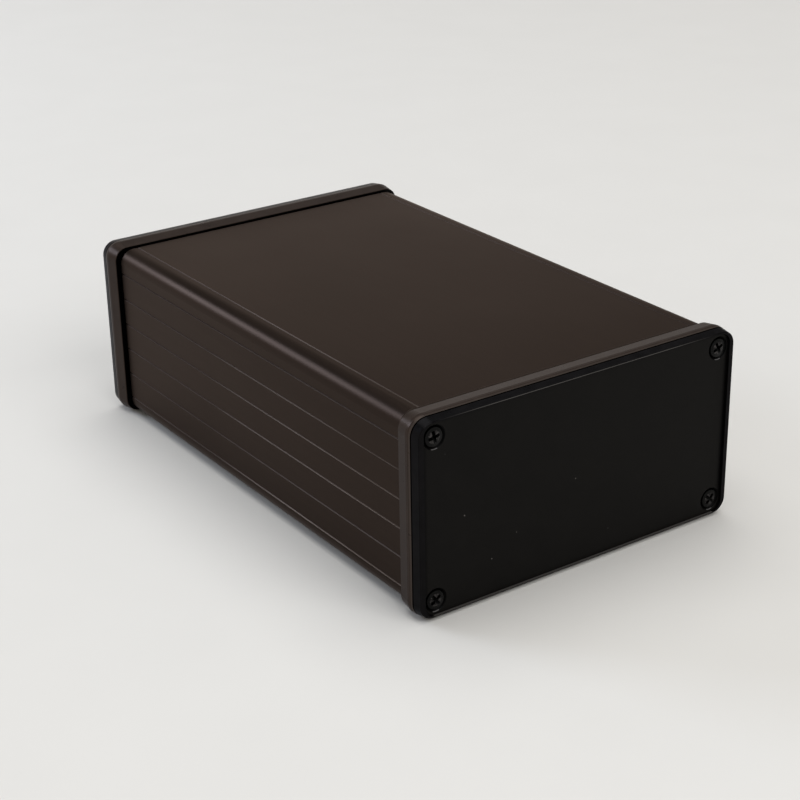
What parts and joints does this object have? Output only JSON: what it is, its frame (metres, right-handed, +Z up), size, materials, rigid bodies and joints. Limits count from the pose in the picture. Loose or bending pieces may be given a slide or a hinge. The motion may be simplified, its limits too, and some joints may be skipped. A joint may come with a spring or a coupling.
{
  "type": "extruded aluminium enclosure",
  "caption": "Long low instrument enclosure: a dark anodised extruded shell with fine lines along its sides, a slide-in belly plate, moulded black end bezels and black end panels held by corner screws.",
  "frame": {"origin": "under the middle of the enclosure, on the plane that the bezels stand on", "axes": "+X across the width, +Y along the extrusion towards the rear end, +Z up; the front end faces -Y"},
  "size_m": [0.104, 0.167, 0.055],
  "materials": {
    "anodised_body": "satin dark brown-black anodising over fine die lines",
    "anodised_plate": "satin dark brown-black anodising",
    "bezel_plastic": "moulded black plastic, fine matt texture",
    "panel_finish": "smooth matt black",
    "black_screw": "black zinc, slightly shiny"
  },
  "bodies": {
    "root": {"body_extrusion": "anodised_body", "belly_plate": "anodised_plate", "front_bezel": "bezel_plastic", "rear_bezel": "bezel_plastic", "front_panel": "panel_finish", "rear_panel": "panel_finish", "screw_front_top_left": "black_screw", "screw_front_top_right": "black_screw", "screw_front_bottom_left": "black_screw", "screw_front_bottom_right": "black_screw", "screw_rear_top_left": "black_screw", "screw_rear_top_right": "black_screw", "screw_rear_bottom_left": "black_screw", "screw_rear_bottom_right": "black_screw"}
  },
  "joints": []
}
